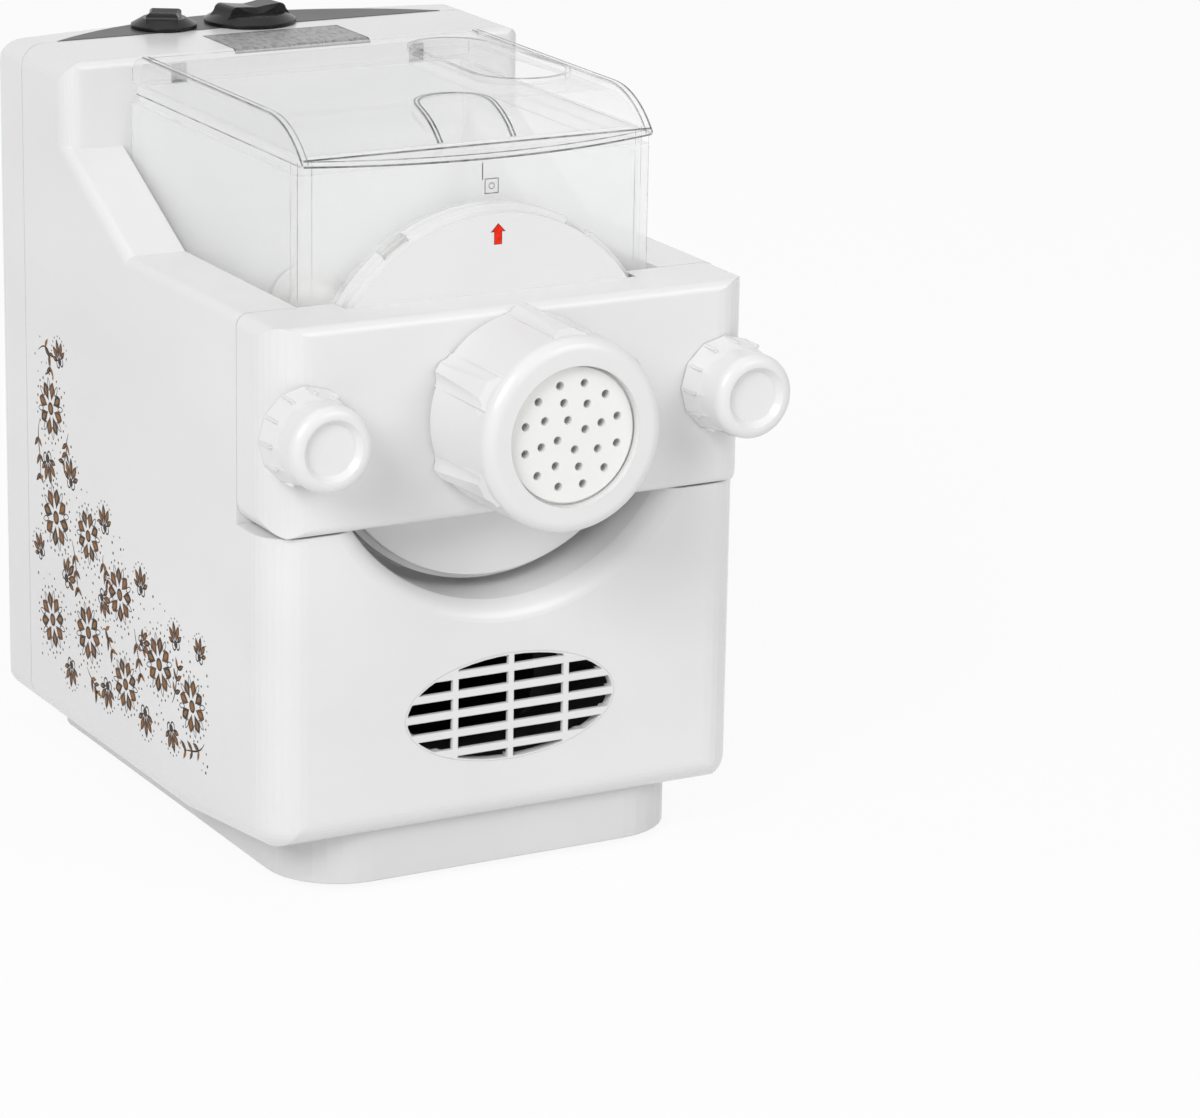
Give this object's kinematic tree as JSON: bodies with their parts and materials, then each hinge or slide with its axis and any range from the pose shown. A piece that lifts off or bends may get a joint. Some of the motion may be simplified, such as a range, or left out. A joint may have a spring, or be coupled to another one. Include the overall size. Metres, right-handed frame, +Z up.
{
  "type": "electric pasta maker",
  "caption": "Upright electric pasta maker with a clear lidded hopper, mixing screw, clamped front bar, die nut and top dials.",
  "frame": {"origin": "centre of the bounding box's bottom: the middle of the footprint at the feet's height", "axes": "+Z up, -Y towards the die nut and the user, +X to the right seen from the front"},
  "size_m": [0.2174, 0.315, 0.301],
  "materials": {
    "white_plastic": "glossy",
    "pale_plastic": "satin",
    "white_nylon": "satin",
    "clear_plastic": "glossy",
    "black_plastic": "satin",
    "grey_plate": "satin",
    "pale_switch": "matte",
    "rubber": "matte",
    "silicone": "matte",
    "steel": "brushed",
    "gear_nylon": "satin",
    "ferrite": "matte",
    "copper": "satin",
    "board": "satin"
  },
  "bodies": {
    "base": {"housing": "white_plastic", "rear_cover": "white_plastic", "base_tray": "pale_plastic", "feet": "rubber", "control_plate": "grey_plate", "grille": "white_plastic", "air_duct": "black_plastic", "slot_frames": "grey_plate", "interlock_switches": "black_plastic", "studs": "steel", "stud_nuts": "steel", "motor_can": "steel", "motor_cap": "black_plastic", "magnets": "ferrite", "brushes": "ferrite", "gear_plate_front": "steel", "gear_plate_rear": "steel", "gear_posts": "steel", "gear_screws": "steel", "bearings": "steel", "shaft_seal": "rubber", "timer_body": "pale_switch", "selector_switch": "black_plastic", "circuit_board": "board", "board_parts": "board", "cord_bush": "rubber", "cover_screws": "steel"},
    "rotor": {"motor_rotor": "steel", "commutator": "copper", "motor_shaft": "steel", "motor_fan": "black_plastic", "motor_pinion": "steel"},
    "lay_a": {"gear_a": "gear_nylon", "pinion_a": "steel", "shaft_a": "steel"},
    "lay_b": {"gear_b": "gear_nylon", "pinion_b": "steel", "shaft_b": "steel"},
    "output": {"gear_out": "steel", "shaft_out": "steel"},
    "hopper": {"cup": "clear_plastic", "cup_bush": "white_nylon"},
    "lid": {"lid": "clear_plastic"},
    "mixer": {"mixing_rod": "white_nylon", "extrusion_screw": "white_nylon"},
    "front": {"front_cover": "white_plastic", "cover_seal": "silicone", "clamp_panel": "white_plastic"},
    "die": {"die": "white_nylon"},
    "nut": {"die_nut": "white_plastic"},
    "washer_l": {"washer_l": "steel"},
    "washer_r": {"washer_r": "steel"},
    "knob_l": {"clamp_knob_l": "white_plastic"},
    "knob_r": {"clamp_knob_r": "white_plastic"},
    "selector": {"selector_knob": "black_plastic"},
    "timer": {"timer_knob": "black_plastic"}
  },
  "joints": [
    {"name": "rotor_spin", "type": "hinge", "parent": "base", "child": "rotor", "pos_m": [0, 0.0375, 0.068], "axis": [0, 1, 0], "continuous": true},
    {"name": "lay_a_spin", "type": "hinge", "parent": "base", "child": "lay_a", "pos_m": [0.01843, 0.0935, 0.09776], "axis": [0, 1, 0], "continuous": true},
    {"name": "lay_b_spin", "type": "hinge", "parent": "base", "child": "lay_b", "pos_m": [0, 0.1075, 0.1355], "axis": [0, 1, 0], "continuous": true},
    {"name": "output_spin", "type": "hinge", "parent": "base", "child": "output", "pos_m": [0, 0.1075, 0.1875], "axis": [0, 1, 0], "continuous": true},
    {"name": "hopper_slide", "type": "slide", "parent": "base", "child": "hopper", "axis": [0, -1, 0], "range_m": [0, 0.2]},
    {"name": "lid_hinge", "type": "hinge", "parent": "hopper", "child": "lid", "pos_m": [0, 0.0776, 0.2874], "axis": [-1, 0, 0], "range_deg": [0, 60]},
    {"name": "mixer_spin", "type": "hinge", "parent": "hopper", "child": "mixer", "pos_m": [0, -0.0125, 0.1875], "axis": [0, 1, 0], "continuous": true},
    {"name": "front_slide", "type": "slide", "parent": "hopper", "child": "front", "axis": [0, -1, 0], "range_m": [0, 0.1]},
    {"name": "die_slide", "type": "slide", "parent": "front", "child": "die", "axis": [0, -1, 0], "range_m": [0, 0.0125]},
    {"name": "nut_turn", "type": "hinge", "parent": "die", "child": "nut", "pos_m": [0, -0.1325, 0.1875], "axis": [0, -1, 0], "range_deg": [0, 1800]},
    {"name": "washer_l_slide", "type": "slide", "parent": "front", "child": "washer_l", "axis": [0, -1, 0], "range_m": [0, 0.0075]},
    {"name": "knob_l_turn", "type": "hinge", "parent": "washer_l", "child": "knob_l", "pos_m": [-0.0895, -0.1245, 0.1875], "axis": [0, -1, 0], "range_deg": [0, 2160]},
    {"name": "washer_r_slide", "type": "slide", "parent": "front", "child": "washer_r", "axis": [0, -1, 0], "range_m": [0, 0.0075]},
    {"name": "knob_r_turn", "type": "hinge", "parent": "washer_r", "child": "knob_r", "pos_m": [0.0895, -0.1245, 0.1875], "axis": [0, -1, 0], "range_deg": [0, 2160]},
    {"name": "selector_turn", "type": "hinge", "parent": "base", "child": "selector", "pos_m": [-0.0347, 0.1345, 0.295], "axis": [0, 0, -1], "range_deg": [-45, 45]},
    {"name": "timer_turn", "type": "hinge", "parent": "base", "child": "timer", "pos_m": [0.003, 0.132, 0.295], "axis": [0, 0, -1], "range_deg": [0, 300]}
  ],
  "couplings": [
    {"joint": "lay_a_spin", "follows": "rotor_spin", "ratio": -0.33333},
    {"joint": "lay_b_spin", "follows": "rotor_spin", "ratio": 0.11111},
    {"joint": "output_spin", "follows": "rotor_spin", "ratio": -0.049383},
    {"joint": "mixer_spin", "follows": "rotor_spin", "ratio": -0.049383},
    {"joint": "die_slide", "follows": "nut_turn", "m_per_rad": 0.00039788},
    {"joint": "washer_l_slide", "follows": "knob_l_turn", "m_per_rad": 0.00019894},
    {"joint": "washer_r_slide", "follows": "knob_r_turn", "m_per_rad": 0.00019894}
  ]
}
